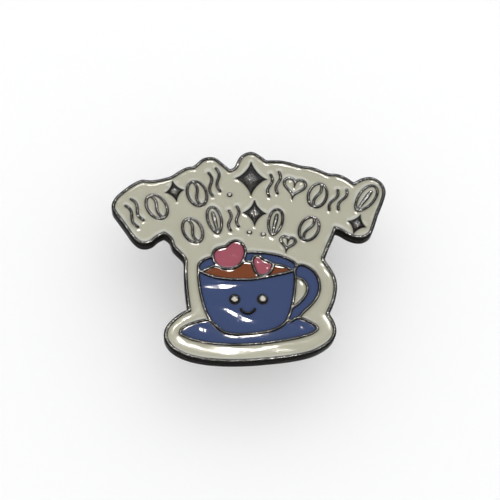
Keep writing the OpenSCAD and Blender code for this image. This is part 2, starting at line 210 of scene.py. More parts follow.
class PIN_PG_enamel(bpy.types.PropertyGroup):
    """The baked enamel fills."""

    cream: tint("Cream", "Colour of the background", (0.410, 0.398, 0.305))
    blue: tint("Blue", "Colour of the cup and saucer", (0.026, 0.050, 0.140))
    brown: tint("Brown", "Colour of the coffee", (0.168, 0.034, 0.001))
    pink: tint("Pink", "Colour of the hearts", (0.32, 0.068, 0.100))
    drop: length("Drop", "Depth of the enamel below the metal", 0.17 * MM)
    climb: length("Climb", "Height that the enamel creeps up a line", 0.085 * MM)
    creep: length("Creep", "Distance over which it creeps", 0.2 * MM)
    sag: length("Sag", "How far wide fills sink in the middle", 0.03 * MM)


class PIN_PG_clutch(bpy.types.PropertyGroup):
    """The butterfly clutches and the posts."""

    nickel: tint("Nickel", "Colour of the bright nickel", (0.62, 0.60, 0.56))
    steel: tint("Steel", "Colour of the posts", (0.50, 0.50, 0.49))
    solder: tint("Solder", "Colour of the solder", (0.38, 0.38, 0.40))
    soft_edge: length("Soft edge", "Rounding of the sheet's cut edges", 0.05 * MM)


class PIN_PG_stage(bpy.types.PropertyGroup):
    """Camera, floor and lights."""

    eye: place("Eye", "Camera place from the middle of the face", (-0.00835, -0.05448, 0.11543))
    aim: place("Aim", "Point looked at, from the middle of the face", (-0.00004, 0.0003, 0.0))
    lens: bpy.props.FloatProperty(name="Lens", description="Focal length in millimetres on a 36 mm sensor",
                                  default=81.1, min=20, max=300)
    paper: tint("Floor", "Colour of the floor", (0.93, 0.93, 0.93))


SETTINGS = {"pin_plate": PIN_PG_plate, "pin_enamel": PIN_PG_enamel, "pin_clutch": PIN_PG_clutch,
            "pin_stage": PIN_PG_stage}


# ---- Shader maths ----

class Term:
    """A socket that adds Math nodes when it is used in an expression."""

    def __init__(self, look, socket):
        self.look = look
        self.socket = socket

    def _math(self, operation, first, second):
        return self.look.add("ShaderNodeMath", {"operation": operation}, {0: first, 1: second})

    def __add__(self, other):
        return self._math("ADD", self, other)

    def __radd__(self, other):
        return self._math("ADD", other, self)

    def __sub__(self, other):
        return self._math("SUBTRACT", self, other)

    def __rsub__(self, other):
        return self._math("SUBTRACT", other, self)

    def __mul__(self, other):
        return self._math("MULTIPLY", self, other)

    def __rmul__(self, other):
        return self._math("MULTIPLY", other, self)

    def __pow__(self, other):
        return self._math("POWER", self, other)


class Look:
    """A material under construction, with a Principled shader."""

    def __init__(self, name):
        self.material = bpy.data.materials.new(name)
        self.material.use_nodes = True
        self.tree = self.material.node_tree
        self.tree.nodes.clear()
        self.shader = self.tree.nodes.new("ShaderNodeBsdfPrincipled")
        output = self.tree.nodes.new("ShaderNodeOutputMaterial")
        self.tree.links.new(self.shader.outputs[0], output.inputs["Surface"])
        self.place = self.add("ShaderNodeTexCoord", {}, {}, "Object")

    def set(self, node, key, value):
        """Links a Term to a socket, or gives the socket a constant."""
        socket = node.inputs[key]
        if isinstance(value, Term):
            self.tree.links.new(value.socket, socket)
        elif isinstance(value, (tuple, list)) and socket.type == "RGBA" and len(value) == 3:
            socket.default_value = (*value, 1)
        else:
            socket.default_value = value

    def add(self, kind, settings, inputs, output=0):
        """Adds a node from its type, its settings, its sockets' values or links, and the output wanted."""
        node = self.tree.nodes.new(kind)
        for key, value in settings.items():
            if key == "stops":
                self._stops(node.color_ramp, value)
            else:
                setattr(node, key, value)
        for key, value in inputs.items():
            self.set(node, key, value)
        return Term(self, node.outputs[output])

    @staticmethod
    def _stops(ramp, stops):
        """Gives a colour ramp grey stops, each a position and a value."""
        while len(ramp.elements) > len(stops):
            ramp.elements.remove(ramp.elements[-1])
        while len(ramp.elements) < len(stops):
            ramp.elements.new(1)
        for element, (position, value) in zip(ramp.elements, stops):
            element.position = position
            element.color = (value, value, value, 1)

    def noise(self, size, detail=3, roughness=0.5, place=None):
        """Even noise from 0 to 1 whose bumps are about size across."""
        return self.add("ShaderNodeTexNoise", {}, {"Vector": place or self.place, "Scale": 1 / size,
                                                  "Detail": detail, "Roughness": roughness}, "Fac")

    def specks(self, size):
        """Distance to the nearest of scattered points, about size apart, as a share of size."""
        return self.add("ShaderNodeTexVoronoi", {}, {"Vector": self.place, "Scale": 1 / size}, "Distance")

    def ramp(self, value, *stops):
        """The value passed through grey stops, each a position and a value."""
        return self.add("ShaderNodeValToRGB", {"stops": stops}, {"Fac": value}, "Color")

    def mix(self, factor, first, second):
        """A colour between two colours."""
        return self.add("ShaderNodeMix", {"data_type": "RGBA"}, {0: factor, 6: first, 7: second}, 2)

    def stretched(self, scale):
        """The object's own coordinates, scaled."""
        return self.add("ShaderNodeMapping", {}, {"Vector": self.place, "Scale": scale}, 0)

    def attribute(self, name):
        """A mark stored on the mesh's points."""
        return self.add("ShaderNodeAttribute", {"attribute_name": name}, {}, "Fac")

    def bump(self, height, depth, strength=1.0):
        """A normal from a height of 0 to 1 over the given depth."""
        inputs = {"Height": height, "Distance": depth, "Strength": strength}
        return self.add("ShaderNodeBump", {}, inputs, 0)

    def finish(self, **sockets):
        """Sets the shader's sockets, whose names have underscores for spaces, and returns the material."""
        for key, value in sockets.items():
            self.set(self.shader, key.replace("_", " "), value)
        return self.material


def scaled(colour, factor):
    """The colour made darker or lighter."""
    return tuple(min(1.0, c * factor) for c in colour)


# ---- Finishes ----

def black_nickel(s):
    """Black-nickel plating with a fine grain.

    The crown mark is 0 at an edge, 1 on top of a line, 2 on top of an eye or dot and -1 on the back. The
    colour is painted near-black on the sides of the lines, the rim and the plate's edge as painted shade,
    lighter on the tops as a painted highlight broken up by the grain and strewn with bright specks as
    painted glints, lighter all over an eye's or dot's top as a painted highlight with a painted dark ring
    round it, and even on the back.
    """
    look = Look("black_nickel")
    cloud = look.noise(2.2 * MM, 4)
    grain = look.noise(0.22 * MM, 3, 0.65)
    crown = look.attribute("crown")
    # Painted shade and highlight: near-black colour where the crown mark is low, lighter colour on the tops
    painted_lit_tops = look.ramp(crown, (0.86, 0.0), (1.0, 1.0))
    painted_dome_highlight = look.ramp(crown - 1, (0.45, 0.0), (0.9, 1.0))
    colour = look.mix(cloud, scaled(s.metal, 0.7), scaled(s.metal, 1.25))
    grain_breakup = look.ramp(grain, (0.38, 0.1), (0.62, 1.0))
    stretch = look.ramp(look.noise(3.5 * MM, 2), (0.40, 0.3), (0.60, 1.0))
    colour = look.mix(painted_lit_tops * grain_breakup * stretch, scaled(s.metal, 0.07), colour)
    # Painted glints: bright specks of colour on the upper flanks and tops
    painted_glints = look.ramp(look.noise(0.14 * MM, 2, 0.6), (0.54, 0.0), (0.62, 1.0))
    flank = look.ramp(crown, (0.58, 0.0), (0.92, 1.0))
    colour = look.mix(painted_glints * flank * stretch, colour, (0.88, 0.86, 0.80))
    # Painted highlight: an eye's or dot's top is lighter all over
    colour = look.mix(painted_dome_highlight, colour, (0.42, 0.40, 0.34))
    plain = look.ramp(0 - crown, (0.3, 0.0), (0.9, 1.0))
    colour = look.mix(plain, colour, look.mix(cloud, scaled(s.metal, 0.45), scaled(s.metal, 0.75)))
    rough = 0.11 + 0.13 * grain + 0.05 * cloud + 0.22 * painted_dome_highlight + 0.15 * plain
    height = grain * 0.8 + look.noise(0.08 * MM, 2) * 0.2
    return look.finish(Base_Color=colour, Metallic=1.0, Roughness=rough, Specular_Tint=(0.4, 0.4, 0.4),
                       Normal=look.bump(height, 0.08 * MM, 0.9))


def enamel_finish(name, colour, haze):
    """Baked enamel: glossy, faintly mottled, deeper in tone where it pools against the metal.

    The edge mark is 1 beside the metal and fades to 0, with 2 more in a narrow ring round an eye. Right
    against the metal and in that ring the colour turns near-black as painted shade.
    """
    look = Look(name)
    cloud = look.noise(3.5 * MM, 4)
    pigment = look.noise(0.12 * MM, 2, 0.6)
    edge = look.attribute("edge")
    body = look.mix(cloud, scaled(colour, 0.93), scaled(colour, 1.06))
    body = look.mix(0.10 * pigment, body, scaled(colour, 1.5))
    body = look.mix(0.55 * edge, body, scaled(colour, 0.62))
    # Painted shade: a near-black line of colour right against the metal
    body = look.mix(0.85 * edge**3, body, scaled(colour, 0.12))
    # Painted shade: a near-black ring of colour round each eye
    body = look.mix(look.ramp(edge - 1, (0.05, 0.0), (0.5, 1.0)), body, scaled(colour, 0.08))
    dust = look.ramp(look.specks(1.5 * MM), (0.0, 1.0), (0.022, 1.0), (0.036, 0.0))
    body = look.mix(0.55 * dust, body, scaled(colour, 0.3))
    rough = haze + 0.05 * look.noise(0.6 * MM, 3) + 0.2 * dust
    wave = look.noise(1.6 * MM, 2) * 0.25 + look.noise(0.25 * MM, 2) * 0.05 + dust * 0.7
    return look.finish(Base_Color=body, Roughness=rough, IOR=1.52, Coat_Weight=0.6,
                       Coat_Roughness=haze * 0.6, Coat_IOR=1.5, Normal=look.bump(wave, 0.035 * MM, 0.8))


def bright_nickel(s):
    """Bright nickel on pressed sheet, with fine scuffs."""
    look = Look("bright_nickel")
    cloud = look.noise(3 * MM, 4)
    scuff = look.noise(0.5 * MM, 5, 0.7, look.stretched((0.25, 1.6, 1)))
    colour = look.mix(cloud, scaled(s.nickel, 0.8), scaled(s.nickel, 1.08))
    return look.finish(Base_Color=colour, Metallic=1.0, Roughness=0.16 + 0.18 * scuff,
                       Normal=look.bump(scuff, 0.006 * MM, 0.4))


def post_steel(s):
    """Drawn wire, with faint lines round it."""
    look = Look("post_steel")
    lines = look.noise(0.3 * MM, 3, 0.6, look.stretched((0.3, 0.3, 6)))
    colour = look.mix(lines, scaled(s.steel, 0.8), scaled(s.steel, 1.15))
    return look.finish(Base_Color=colour, Metallic=1.0, Roughness=0.22 + 0.25 * lines,
                       Normal=look.bump(lines, 0.01 * MM, 0.7))


def solder_finish(s):
    """Matt tin solder with frozen ripples."""
    look = Look("solder_finish")
    ripple = look.noise(0.5 * MM, 5, 0.7)
    colour = look.mix(ripple, scaled(s.solder, 0.6), scaled(s.solder, 1.2))
    return look.finish(Base_Color=colour, Metallic=1.0, Roughness=0.35 + 0.3 * ripple,
                       Normal=look.bump(ripple, 0.06 * MM, 0.9))


def spring_finish(s):
    """Straw-tinted spring steel."""
    look = Look("spring_finish")
    cloud = look.noise(0.8 * MM, 4)
    colour = look.mix(cloud, (0.32, 0.28, 0.22), scaled(s.steel, 0.9))
    return look.finish(Base_Color=colour, Metallic=1.0, Roughness=0.25 + 0.2 * cloud,
                       Normal=look.bump(look.noise(0.1 * MM, 3), 0.01 * MM, 0.6))


def paper_finish(s):
    """Plain pale board."""
    look = Look("paper_finish")
    fibre = look.noise(1.2 * MM, 5, 0.7)
    return look.finish(Base_Color=look.mix(fibre, scaled(s.paper, 0.985), scaled(s.paper, 1.0)),
                       Roughness=0.85, Normal=look.bump(fibre, 0.01 * MM, 0.3))


def finish_of(maker, *args):
    """The material of that name, made once."""
    name = args[0] if isinstance(args[0], str) else maker.__name__
    return bpy.data.materials.get(name) or maker(*args)


# ---- Loops of the CAD faces ----

def face_loops(node):
    """Closed outlines of a node's top face in the XY plane, in metres, with the solid on their left."""
    mesh = frame["nodes"][node].data
    points = np.array([v.co[:] for v in mesh.vertices])
    level = points[:, 2].max()
    keys, index = np.unique(np.round(points[:, :2], 7), axis=0, return_inverse=True)
    index = index.reshape(-1)
    edges = set()
    for face in mesh.polygons:
        if all(abs(points[v][2] - level) < 1e-6 for v in face.vertices):
            corners = [int(index[v]) for v in face.vertices]
            edges.update(zip(corners, corners[1:] + corners[:1]))
    outgoing = {}
    for a, b in sorted(edges):
        if (b, a) not in edges:
            outgoing.setdefault(a, []).append(b)
    loops = []
    while outgoing:
        start = min(outgoing)
        loop, here = [], start
        while here in outgoing:
            loop.append(here)
            there = outgoing[here].pop()
            if not outgoing[here]:
                del outgoing[here]
            here = there
        loops.append(keys[loop])
    return loops


def unit(v):
    """The vector or vectors at a length of 1."""
    return v / np.maximum(np.linalg.norm(v, axis=-1, keepdims=True), 1e-12)


def smooth(loop, step, corner_deg=42, rounds=2):
    """The loop as an even Hermite curve, a little rounded at its corners."""
    ahead = np.roll(loop, -1, 0) - loop
    size = np.linalg.norm(ahead, axis=1)
    loop, ahead = loop[size > 1e-6], ahead[size > 1e-6]
    ahead = np.roll(loop, -1, 0) - loop
    size = np.linalg.norm(ahead, axis=1, keepdims=True)
    forward = unit(ahead)
    behind, size_behind = np.roll(forward, 1, 0), np.roll(size, 1, 0)
    sharp = (forward * behind).sum(1) < math.cos(math.radians(corner_deg))
    through = unit(behind * size + forward * size_behind)
    out = []
    for i in range(len(loop)):
        j = (i + 1) % len(loop)
        start = forward[i] if sharp[i] else through[i]
        end = forward[i] if sharp[j] else through[j]
        count = max(1, math.ceil(size[i, 0] / step))
        for k in range(count):
            t = k / count
            out.append((2 * t**3 - 3 * t**2 + 1) * loop[i] + (t**3 - 2 * t**2 + t) * size[i, 0] * start
                       + (3 * t**2 - 2 * t**3) * loop[j] + (t**3 - t**2) * size[i, 0] * end)
    out = np.array(out)
    for _ in range(rounds):
        out = 0.5 * out + 0.25 * (np.roll(out, 1, 0) + np.roll(out, -1, 0))
    return out


def area_of(loop):
    """The area inside a loop, negative where the loop runs clockwise."""
    x, y = loop[:, 0], loop[:, 1]
    return 0.5 * float((x * np.roll(y, -1) - y * np.roll(x, -1)).sum())


def roundness(loop):
    """The loop's area as a share of a circle's with the same length."""
    around = np.linalg.norm(np.roll(loop, -1, 0) - loop, axis=1).sum()
    return 4 * math.pi * abs(area_of(loop)) / around**2


def inside(points, loops):
    """Whether each point lies in an odd number of the loops."""
    points = np.asarray(points)
    result = np.zeros(len(points), bool)
    starts = np.concatenate(loops)
    ends = np.concatenate([np.roll(loop, -1, 0) for loop in loops])
    for low in range(0, len(points), 2000):
        p = points[low:low + 2000, None, :]
        crosses = (starts[None, :, 1] > p[..., 1]) != (ends[None, :, 1] > p[..., 1])
        rise = ends[:, 1] - starts[:, 1]
        run = (ends[:, 0] - starts[:, 0]) / np.where(rise == 0, 1, rise)
        at = starts[None, :, 0] + (p[..., 1] - starts[None, :, 1]) * run[None]
        result[low:low + 2000] = (crosses & (p[..., 0] < at)).sum(1) % 2 == 1
    return result


class EdgeField:
    """Distance from a point to the nearest of several loops."""

    def __init__(self, loops):
        self.starts = np.concatenate(loops)
        self.next = np.concatenate([np.roll(loop, -1, 0) for loop in loops])
        self.last = np.concatenate([np.roll(loop, 1, 0) for loop in loops])
        self.loop_id = np.concatenate([np.full(len(loop), i) for i, loop in enumerate(loops)])
        self.tree = kdtree.KDTree(len(self.starts))
        for i, p in enumerate(self.starts):
            self.tree.insert((p[0], p[1], 0), i)
        self.tree.balance()

    @staticmethod
    def _segment(p, a, b):
        """Distance from p to the straight line between a and b."""
        run = b - a
        t = min(1.0, max(0.0, float((p - a) @ run) / max(float(run @ run), 1e-18)))
        return math.hypot(*(a + t * run - p))

    def nearest(self, p):
        """(distance, number of the loop)"""
        _, i, _ = self.tree.find((p[0], p[1], 0))
        return min(self._segment(p, self.starts[i], self.next[i]),
                   self._segment(p, self.last[i], self.starts[i])), int(self.loop_id[i])


def inward(loop):
    """Unit normals that point into the solid, on the loop's left."""
    along = unit(np.roll(loop, -1, 0) - np.roll(loop, 1, 0))
    return np.stack([-along[:, 1], along[:, 0]], 1)


def ring_points(loops, field, depths):
    """Points at each depth inside the loops, left out where another edge is nearer."""
    found = []
    for loop in loops:
        normals = inward(loop)
        for depth in depths:
            for p in loop + depth * normals:
                if field.nearest(p)[0] > 0.97 * depth:
                    found.append(p)
    return found


def grid_points(loops, field, spacing, clear):
    """A hexagonal grid of points inside the loops, clear of their edges."""
    low = np.concatenate(loops).min(0)
    high = np.concatenate(loops).max(0)
    rows = []
    for j, y in enumerate(np.arange(low[1], high[1], spacing * 0.866)):
        x = np.arange(low[0] + (j % 2) * spacing / 2, high[0], spacing)
        rows.append(np.stack([x, np.full(len(x), y)], 1))
    if not rows:
        return []
    points = np.concatenate(rows)
    points = points[inside(points, loops)]
    return [p for p in points if field.nearest(p)[0] > clear]


def triangulate(loops, extra):
    """(points, triangles, where each loop's points went) for the area inside the loops."""
    count = sum(len(loop) for loop in loops)
    points = np.concatenate([*loops, np.array(extra).reshape(-1, 2)])
    edges, low = [], 0
    for loop in loops:
        n = len(loop)
        edges += [(low + i, low + (i + 1) % n) for i in range(n)]
        low += n
    done = geometry.delaunay_2d_cdt([Vector(p / MM) for p in points], edges, [], 1, 1e-6, True)
    places = np.array([v[:] for v in done[0]]) * MM
    went = {}
    for new, olds in enumerate(done[3]):
        for old in olds:
            went[old] = new
    is_extra = np.array([bool(olds) and min(olds) >= count for olds in done[3]])
    triangles = np.array(done[2])
    sure = is_extra[triangles].any(1)
    doubtful = np.flatnonzero(~sure)
    sure[doubtful] = inside(places[triangles[doubtful]].mean(1), loops)
    triangles = triangles[sure]
    a, b, c = (places[triangles[:, k]] for k in range(3))
    turn = (b[:, 0] - a[:, 0]) * (c[:, 1] - a[:, 1]) - (b[:, 1] - a[:, 1]) * (c[:, 0] - a[:, 0])
    triangles = np.where((turn < 0)[:, None], triangles[:, ::-1], triangles)[np.abs(turn) > 1e-16]
    chains, low = [], 0
    for loop in loops:
        chains.append([went[low + i] for i in range(len(loop))])
        low += len(loop)
    return places, triangles, chains


# ---- Mesh building ----

class Shell:
    """Points and faces of one piece, gathered part by part."""

    def __init__(self):
        self.points, self.faces, self.marks = [], [], []

    def add(self, points, heights, marks=None):
        """Adds points and returns their numbers."""
        first = len(self.points)
        heights = np.broadcast_to(heights, len(points))
        self.points += [(float(p[0]), float(p[1]), float(z)) for p, z in zip(points, heights)]
        self.marks += [0.0] * len(points) if marks is None else [float(m) for m in marks]
        return list(range(first, len(self.points)))

    def wall(self, upper, lower):
        """Faces between two rings of points, facing out of the solid on the ring's left."""
        for i in range(len(upper)):
            j = (i + 1) % len(upper)
            self.faces.append((upper[i], lower[i], lower[j], upper[j]))

    def piece(self, name, material, mark_name="crown"):
        mesh = bpy.data.meshes.new(name)
        mesh.from_pydata(self.points, [], self.faces)
        mesh.attributes.new(mark_name, "FLOAT", "POINT").data.foreach_set("value", self.marks)
        mesh.validate()
        mesh.polygons.foreach_set("use_smooth", [True] * len(mesh.polygons))
        mesh.materials.append(material)
        mesh.update()
        obj = bpy.data.objects.new(name, mesh)
        bpy.context.scene.collection.objects.link(obj)
        return obj


def uneven(p, size, seed):
    """Smooth noise from -1 to 1 at a point of the face."""
    return noise.noise(Vector((p[0] / size, p[1] / size, seed)))


def round_drop(depth, reach, crown):
    """How far a rounded edge lies below its top, at a depth inside the edge."""
    left = 1 - min(depth, reach) / reach
    return crown * (1 - math.sqrt(max(0.0, 1 - left * left)))


def arc_depths(reach, count=4):
    """Depths inside an edge that step evenly round its quarter circle."""
    return [reach * (1 - math.cos(math.pi / 2 * k / count)) for k in range(1, count + 1)]


def edge_rounding(loops, outer, s):
    """(how far in and how deep each loop's edge is rounded, which loops are domes)"""
    pockets = [loop for i, loop in enumerate(loops) if i != outer]
    rounding = [(s.line_round, s.line_crown)] * len(loops)
    rounding[outer] = (s.rim_round, s.rim_round * RIM_CROWN)
    domes = set()
    for i, loop in enumerate(loops):
        radius = math.sqrt(max(0.0, area_of(loop)) / math.pi)
        if i == outer or not 0 < radius < LARGEST_SOLID_R:
            continue
        if any(inside(pocket[:1], [loop])[0] for pocket in pockets if pocket is not loop):
            continue
        if roundness(loop) > DOT_ROUNDNESS:
            rounding[i] = (DOT_REACH * radius, DOT_CROWN)
            domes.add(i)
        elif roundness(loop) > SPARKLE_ROUNDNESS:
            rounding[i] = (SPARKLE_REACH * radius, SPARKLE_CROWN)
    return rounding, domes


def build_plate(s):
    """The struck plate: round rim and lines, pockets, edge and back in one closed shell."""
    loops = [smooth(loop, s.edge_step) for loop in face_loops("base_plate")]
    outer = max(range(len(loops)), key=lambda i: abs(area_of(loops[i])))
    field = EdgeField(loops)
    extra = ring_points(loops, field, arc_depths(s.line_round))
    extra += grid_points(loops, field, PLATE_GRID, s.line_round * 1.3)
    places, triangles, chains = triangulate(loops, extra)
    rounding, domes = edge_rounding(loops, outer, s)
    shell = Shell()
    heights, marks = [], []
    for p in places:
        depth, which = field.nearest(p)
        reach, crown = rounding[which]
        level = s.ripple * (uneven(p, 0.35 * MM, 3) + 0.6 * uneven(p, 0.13 * MM, 8))
        heights.append(TOP_Z - s.ripple * 1.6 - round_drop(depth, reach, crown) + level)
        # The crown mark, which the plating turns into painted shade at edges and painted highlights on tops
        marks.append(min(1.0, depth / reach) * (2 if which in domes else 1))
    top = shell.add(places, heights, marks)
    shell.faces += [tuple(top[v] for v in t) for t in triangles]
    pockets = [loop for i, loop in enumerate(loops) if i != outer]
    floor_places, floor_triangles, floor_chains = triangulate(pockets, [])
    floor = shell.add(floor_places, POCKET_Z)
    shell.faces += [tuple(floor[v] for v in t) for t in floor_triangles]
    pocket_chains = [chain for i, chain in enumerate(chains) if i != outer]
    for chain, floor_chain in zip(pocket_chains, floor_chains):
        shell.wall([top[v] for v in chain], [floor[v] for v in floor_chain])
    build_edge(shell, loops[outer], [top[v] for v in chains[outer]], s)
    return shell


def build_edge(shell, rim, ring, s):
    """The plate's side and back, below its outer rim."""
    normals = inward(rim)
    side_top = TOP_Z - s.rim_round
    for inset, down in SIDE_ROWS:
        z = side_top + (PLATE_LOW.z + BACK_BEVEL - side_top) * down
        wave = np.array([uneven(p, 0.5 * MM, 20 + down) for p in rim])[:, None] * SIDE_WAVE
        next_ring = shell.add(rim + normals * (inset + np.abs(wave)), z, [SIDE_MARK] * len(rim))
        shell.wall(ring, next_ring)
        ring = next_ring
    for k in range(ROUND_STEPS):
        angle = math.pi / 2 * k / ROUND_STEPS
        inset = BACK_BEVEL * (1 - math.cos(angle))
        z = PLATE_LOW.z + BACK_BEVEL * (1 - math.sin(angle))
        next_ring = shell.add(rim + normals * inset, z)
        shell.wall(ring, next_ring)
        ring = next_ring
    back_loop = rim + normals * BACK_BEVEL
    field = EdgeField([back_loop])
    extra = ring_points([back_loop], field, BACK_RINGS)
    extra += grid_points([back_loop], field, BACK_GRID, 0.8 * BACK_GRID)
    places, triangles, chains = triangulate([back_loop], extra)
    back = shell.add(places, PLATE_LOW.z, [BACK_MARK] * len(places))
    shell.faces += [tuple(back[v] for v in t[::-1]) for t in triangles]
    shell.wall(ring, [back[v] for v in chains[0]])


def swell_height(p, x, y, angle, half_length, half_width, height):
    """Height of a long, slightly wavy swell at a point p, from a row of the SWELLS table."""
    dx, dy = p[0] / MM - x, p[1] / MM - y
    c, n = math.cos(math.radians(angle)), math.sin(math.radians(angle))
    along = (dx * c + dy * n) / half_length
    aside = (dy * c - dx * n) / half_width + 0.45 * math.sin(2.6 * along)
    return height * MM * math.exp(-along**2 - aside**2)


def build_enamel(node, s, step, reach_share, rise):
    """One or more fills of enamel that creep up the lines round them and sag in the middle."""
    shell = Shell()
    low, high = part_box(node)
    middle = np.array([(low.x + high.x) / 2, (low.y + high.y) / 2])
    swells = SWELLS.get(node, [])
    in_cup = node == "cup_enamel"
    island_climb = SMILE_CLIMB if in_cup else ORNAMENT_CLIMB
    for group in fills_of(node, step):
        field = EdgeField(group)
        depths = [s.creep * share for share in FILL_ROWS]
        round_islands = {i for i in range(1, len(group)) if roundness(group[i]) > DOT_ROUNDNESS}
        eyes = round_islands if in_cup else set()
        climbs = [DOT_CLIMB if i in round_islands else island_climb for i in range(len(group))]
        climbs[0] = 1.0
        extra = ring_points(group, field, depths)
        extra += grid_points(group, field, FILL_GRID, depths[-1] * 1.15)
        places, triangles, chains = triangulate(group, extra)
        heights, marks = [], []
        for p in places:
            depth, which = field.nearest(p)
            reach = reach_share * s.creep * (1 + 0.45 * uneven(p, 1.1 * MM, 31))
            creep = math.exp(-depth / reach) * climbs[which] * (1 + 0.5 * uneven(p, 0.9 * MM, 12))
            sag = 1 - math.exp(-depth / SAG_REACH)
            wave = FILL_WAVE * uneven(p, 2.2 * MM, 5) * (1 - creep)
            swell = sum(swell_height(p - middle, *row) for row in swells)
            swell *= 1 - math.exp(-depth / SWELL_REACH)
            heights.append(TOP_Z - s.drop + rise * s.climb * creep - s.sag * sag + wave + swell)
            # The edge mark, which the finish turns into a deeper pooling tone and a near-black line of
            # painted shade, with a painted dark ring round each eye
            eye_ring = math.exp(-(depth / EYE_RING)**2) if which in eyes else 0
            marks.append(math.exp(-depth / SHADE_REACH) + 2 * eye_ring)
        top = shell.add(places, heights, marks)
        shell.faces += [tuple(top[v] for v in t) for t in triangles]
        floor_places, floor_triangles, floor_chains = triangulate(group, [])
        floor = shell.add(floor_places, POCKET_Z)
        shell.faces += [tuple(floor[v] for v in t[::-1]) for t in floor_triangles]
        for chain, floor_chain in zip(chains, floor_chains):
            shell.wall([top[v] for v in chain], [floor[v] for v in floor_chain])
    return shell


def fills_of(node, step):
    """The loops of each separate fill of a node: its outline first, then the islands in it."""
    loops = [smooth(loop, step) for loop in face_loops(node)]
    outlines = [loop for loop in loops if area_of(loop) > 0]
    islands = [loop for loop in loops if area_of(loop) <= 0]
    return [[outline] + [i for i in islands if inside(i[:1], [outline])[0]] for outline in outlines]


def soft_profile(corners):
    """A closed profile of (radius, height) points, from corners of (radius, height, rounding)."""
    points = []
    for i, (r, z, bend) in enumerate(corners):
        here = np.array([r, z])
        if not bend:
            points.append(here)
            continue
        before = np.array(corners[i - 1][:2]) - here
        after = np.array(corners[(i + 1) % len(corners)][:2]) - here
        a, b = here + unit(before) * bend, here + unit(after) * bend
        for k in range(BEND_STEPS + 1):
            t = k / BEND_STEPS
            points.append((1 - t)**2 * a + 2 * t * (1 - t) * here + t**2 * b)
    return points


def lathe(name, corners, centre, material, shake=0.0):
    """A turned piece from a closed profile in millimetres, with its top at the centre's height."""
    shell = Shell()
    turn = np.linspace(0, 2 * math.pi, LATHE_SEGMENTS, endpoint=False)
    around = [(2 * math.cos(a), 2 * math.sin(a)) for a in turn]
    rings = []
    for r, z in soft_profile(corners):
        wobble = np.array([shake * noise.noise(Vector((x, y, r + z))) for x, y in around])
        radius = (r + wobble) * MM
        ring = np.stack([centre[0] + radius * np.cos(turn), centre[1] + radius * np.sin(turn)], 1)
        rings.append(shell.add(ring, centre[2] + z * MM))
    for upper, lower in zip(rings, rings[1:] + rings[:1]):
        shell.wall(upper[::-1], lower[::-1])
    return shell.piece(name, material)


def slab(node, round_off):
    """A strip cut to a node's outline, with rounded edges top and bottom."""
    low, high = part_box(node)
    shell = Shell()
    outlines = [smooth(loop, SPRING_STEP, corner_deg=50, rounds=1) for loop in face_loops(node)]
    loop = max(outlines, key=lambda part: abs(area_of(part)))
    normals = inward(loop)
    rings = []
    for end, sign in ((high.z, -1), (low.z, 1)):
        turns = range(ROUND_STEPS + 1) if sign < 0 else range(ROUND_STEPS, -1, -1)
        for k in turns:
            angle = math.pi / 2 * k / ROUND_STEPS
            inset = round_off * (1 - math.sin(angle))
            rings.append(shell.add(loop + normals * inset, end + sign * round_off * (1 - math.cos(angle))))
    for upper, lower in zip(rings, rings[1:]):
        shell.wall(upper, lower)
    for ring, turn in ((rings[0], 1), (rings[-1], -1)):
        outline = np.array([shell.points[v][:2] for v in ring])
        height = shell.points[ring[0]][2]
        places, triangles, chains = triangulate([outline], [])
        cap = shell.add(places, height)
        shell.faces += [tuple(cap[v] for v in t[::turn]) for t in triangles]
        edge = [cap[v] for v in chains[0]]
        shell.wall(*((edge, ring) if turn > 0 else (ring, edge)))
    return shell


def place_piece(obj, body, slot_name, *nodes):
    """Puts a piece on its body in place of the CAD nodes it stands for. The slot name is not used."""
    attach(obj, body)
    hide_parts(*nodes)
    return obj


def refine_node(node, material, soft_edge):
    """Gives a CAD node its finish and softens its cut edges."""
    obj = frame["nodes"][node]
    obj.data.materials.clear()
    obj.data.materials.append(material)
    weld = obj.modifiers.new("weld", "WELD")
    weld.merge_threshold = WELD_GAP
    bevel = obj.modifiers.new("soft_edge", "BEVEL")
    bevel.width = soft_edge
    bevel.segments = ROUND_STEPS
    bevel.limit_method = "ANGLE"
    bevel.angle_limit = math.radians(SHEET_CORNER_DEG)
    bevel.harden_normals = True
    return obj


# ---- Operators ----

class PIN_OT_plate(bpy.types.Operator):
    """Build the struck metal plate with its raised rim and lines."""

    bl_idname = "pin.plate"
    bl_label = "Plate"

    def execute(self, context):
        s = context.scene.pin_plate
        obj = build_plate(s).piece("struck_plate", finish_of(black_nickel, s))
        place_piece(obj, "pin", "dark_nickel", "base_plate")
        return {"FINISHED"}


def make_fills(context, colour_name):
    """Builds the fills of one colour."""
    nodes, haze, reach_share, rise = FILLS[colour_name]
    s = context.scene.pin_enamel
    colour = tuple(getattr(s, colour_name))
    for node in nodes:
        shell = build_enamel(node, s, context.scene.pin_plate.edge_step, reach_share, rise)
        finish = finish_of(enamel_finish, colour_name + "_fill", colour, haze)
        obj = shell.piece(node.replace("enamel", "fill"), finish, "edge")
        place_piece(obj, "pin", colour_name + "_enamel", node)


class PIN_OT_cream(bpy.types.Operator):
    """Fill the background, the handle's window and the ornaments with cream enamel."""

    bl_idname = "pin.cream"
    bl_label = "Cream enamel"

    def execute(self, context):
        make_fills(context, "cream")
        return {"FINISHED"}


class PIN_OT_blue(bpy.types.Operator):
    """Fill the cup, its handle and the saucer with blue enamel."""

    bl_idname = "pin.blue"
    bl_label = "Blue enamel"

    def execute(self, context):
        make_fills(context, "blue")
        return {"FINISHED"}


class PIN_OT_coffee(bpy.types.Operator):
    """Fill the coffee with brown enamel."""

    bl_idname = "pin.coffee"
    bl_label = "Brown enamel"

    def execute(self, context):
        make_fills(context, "brown")
        return {"FINISHED"}


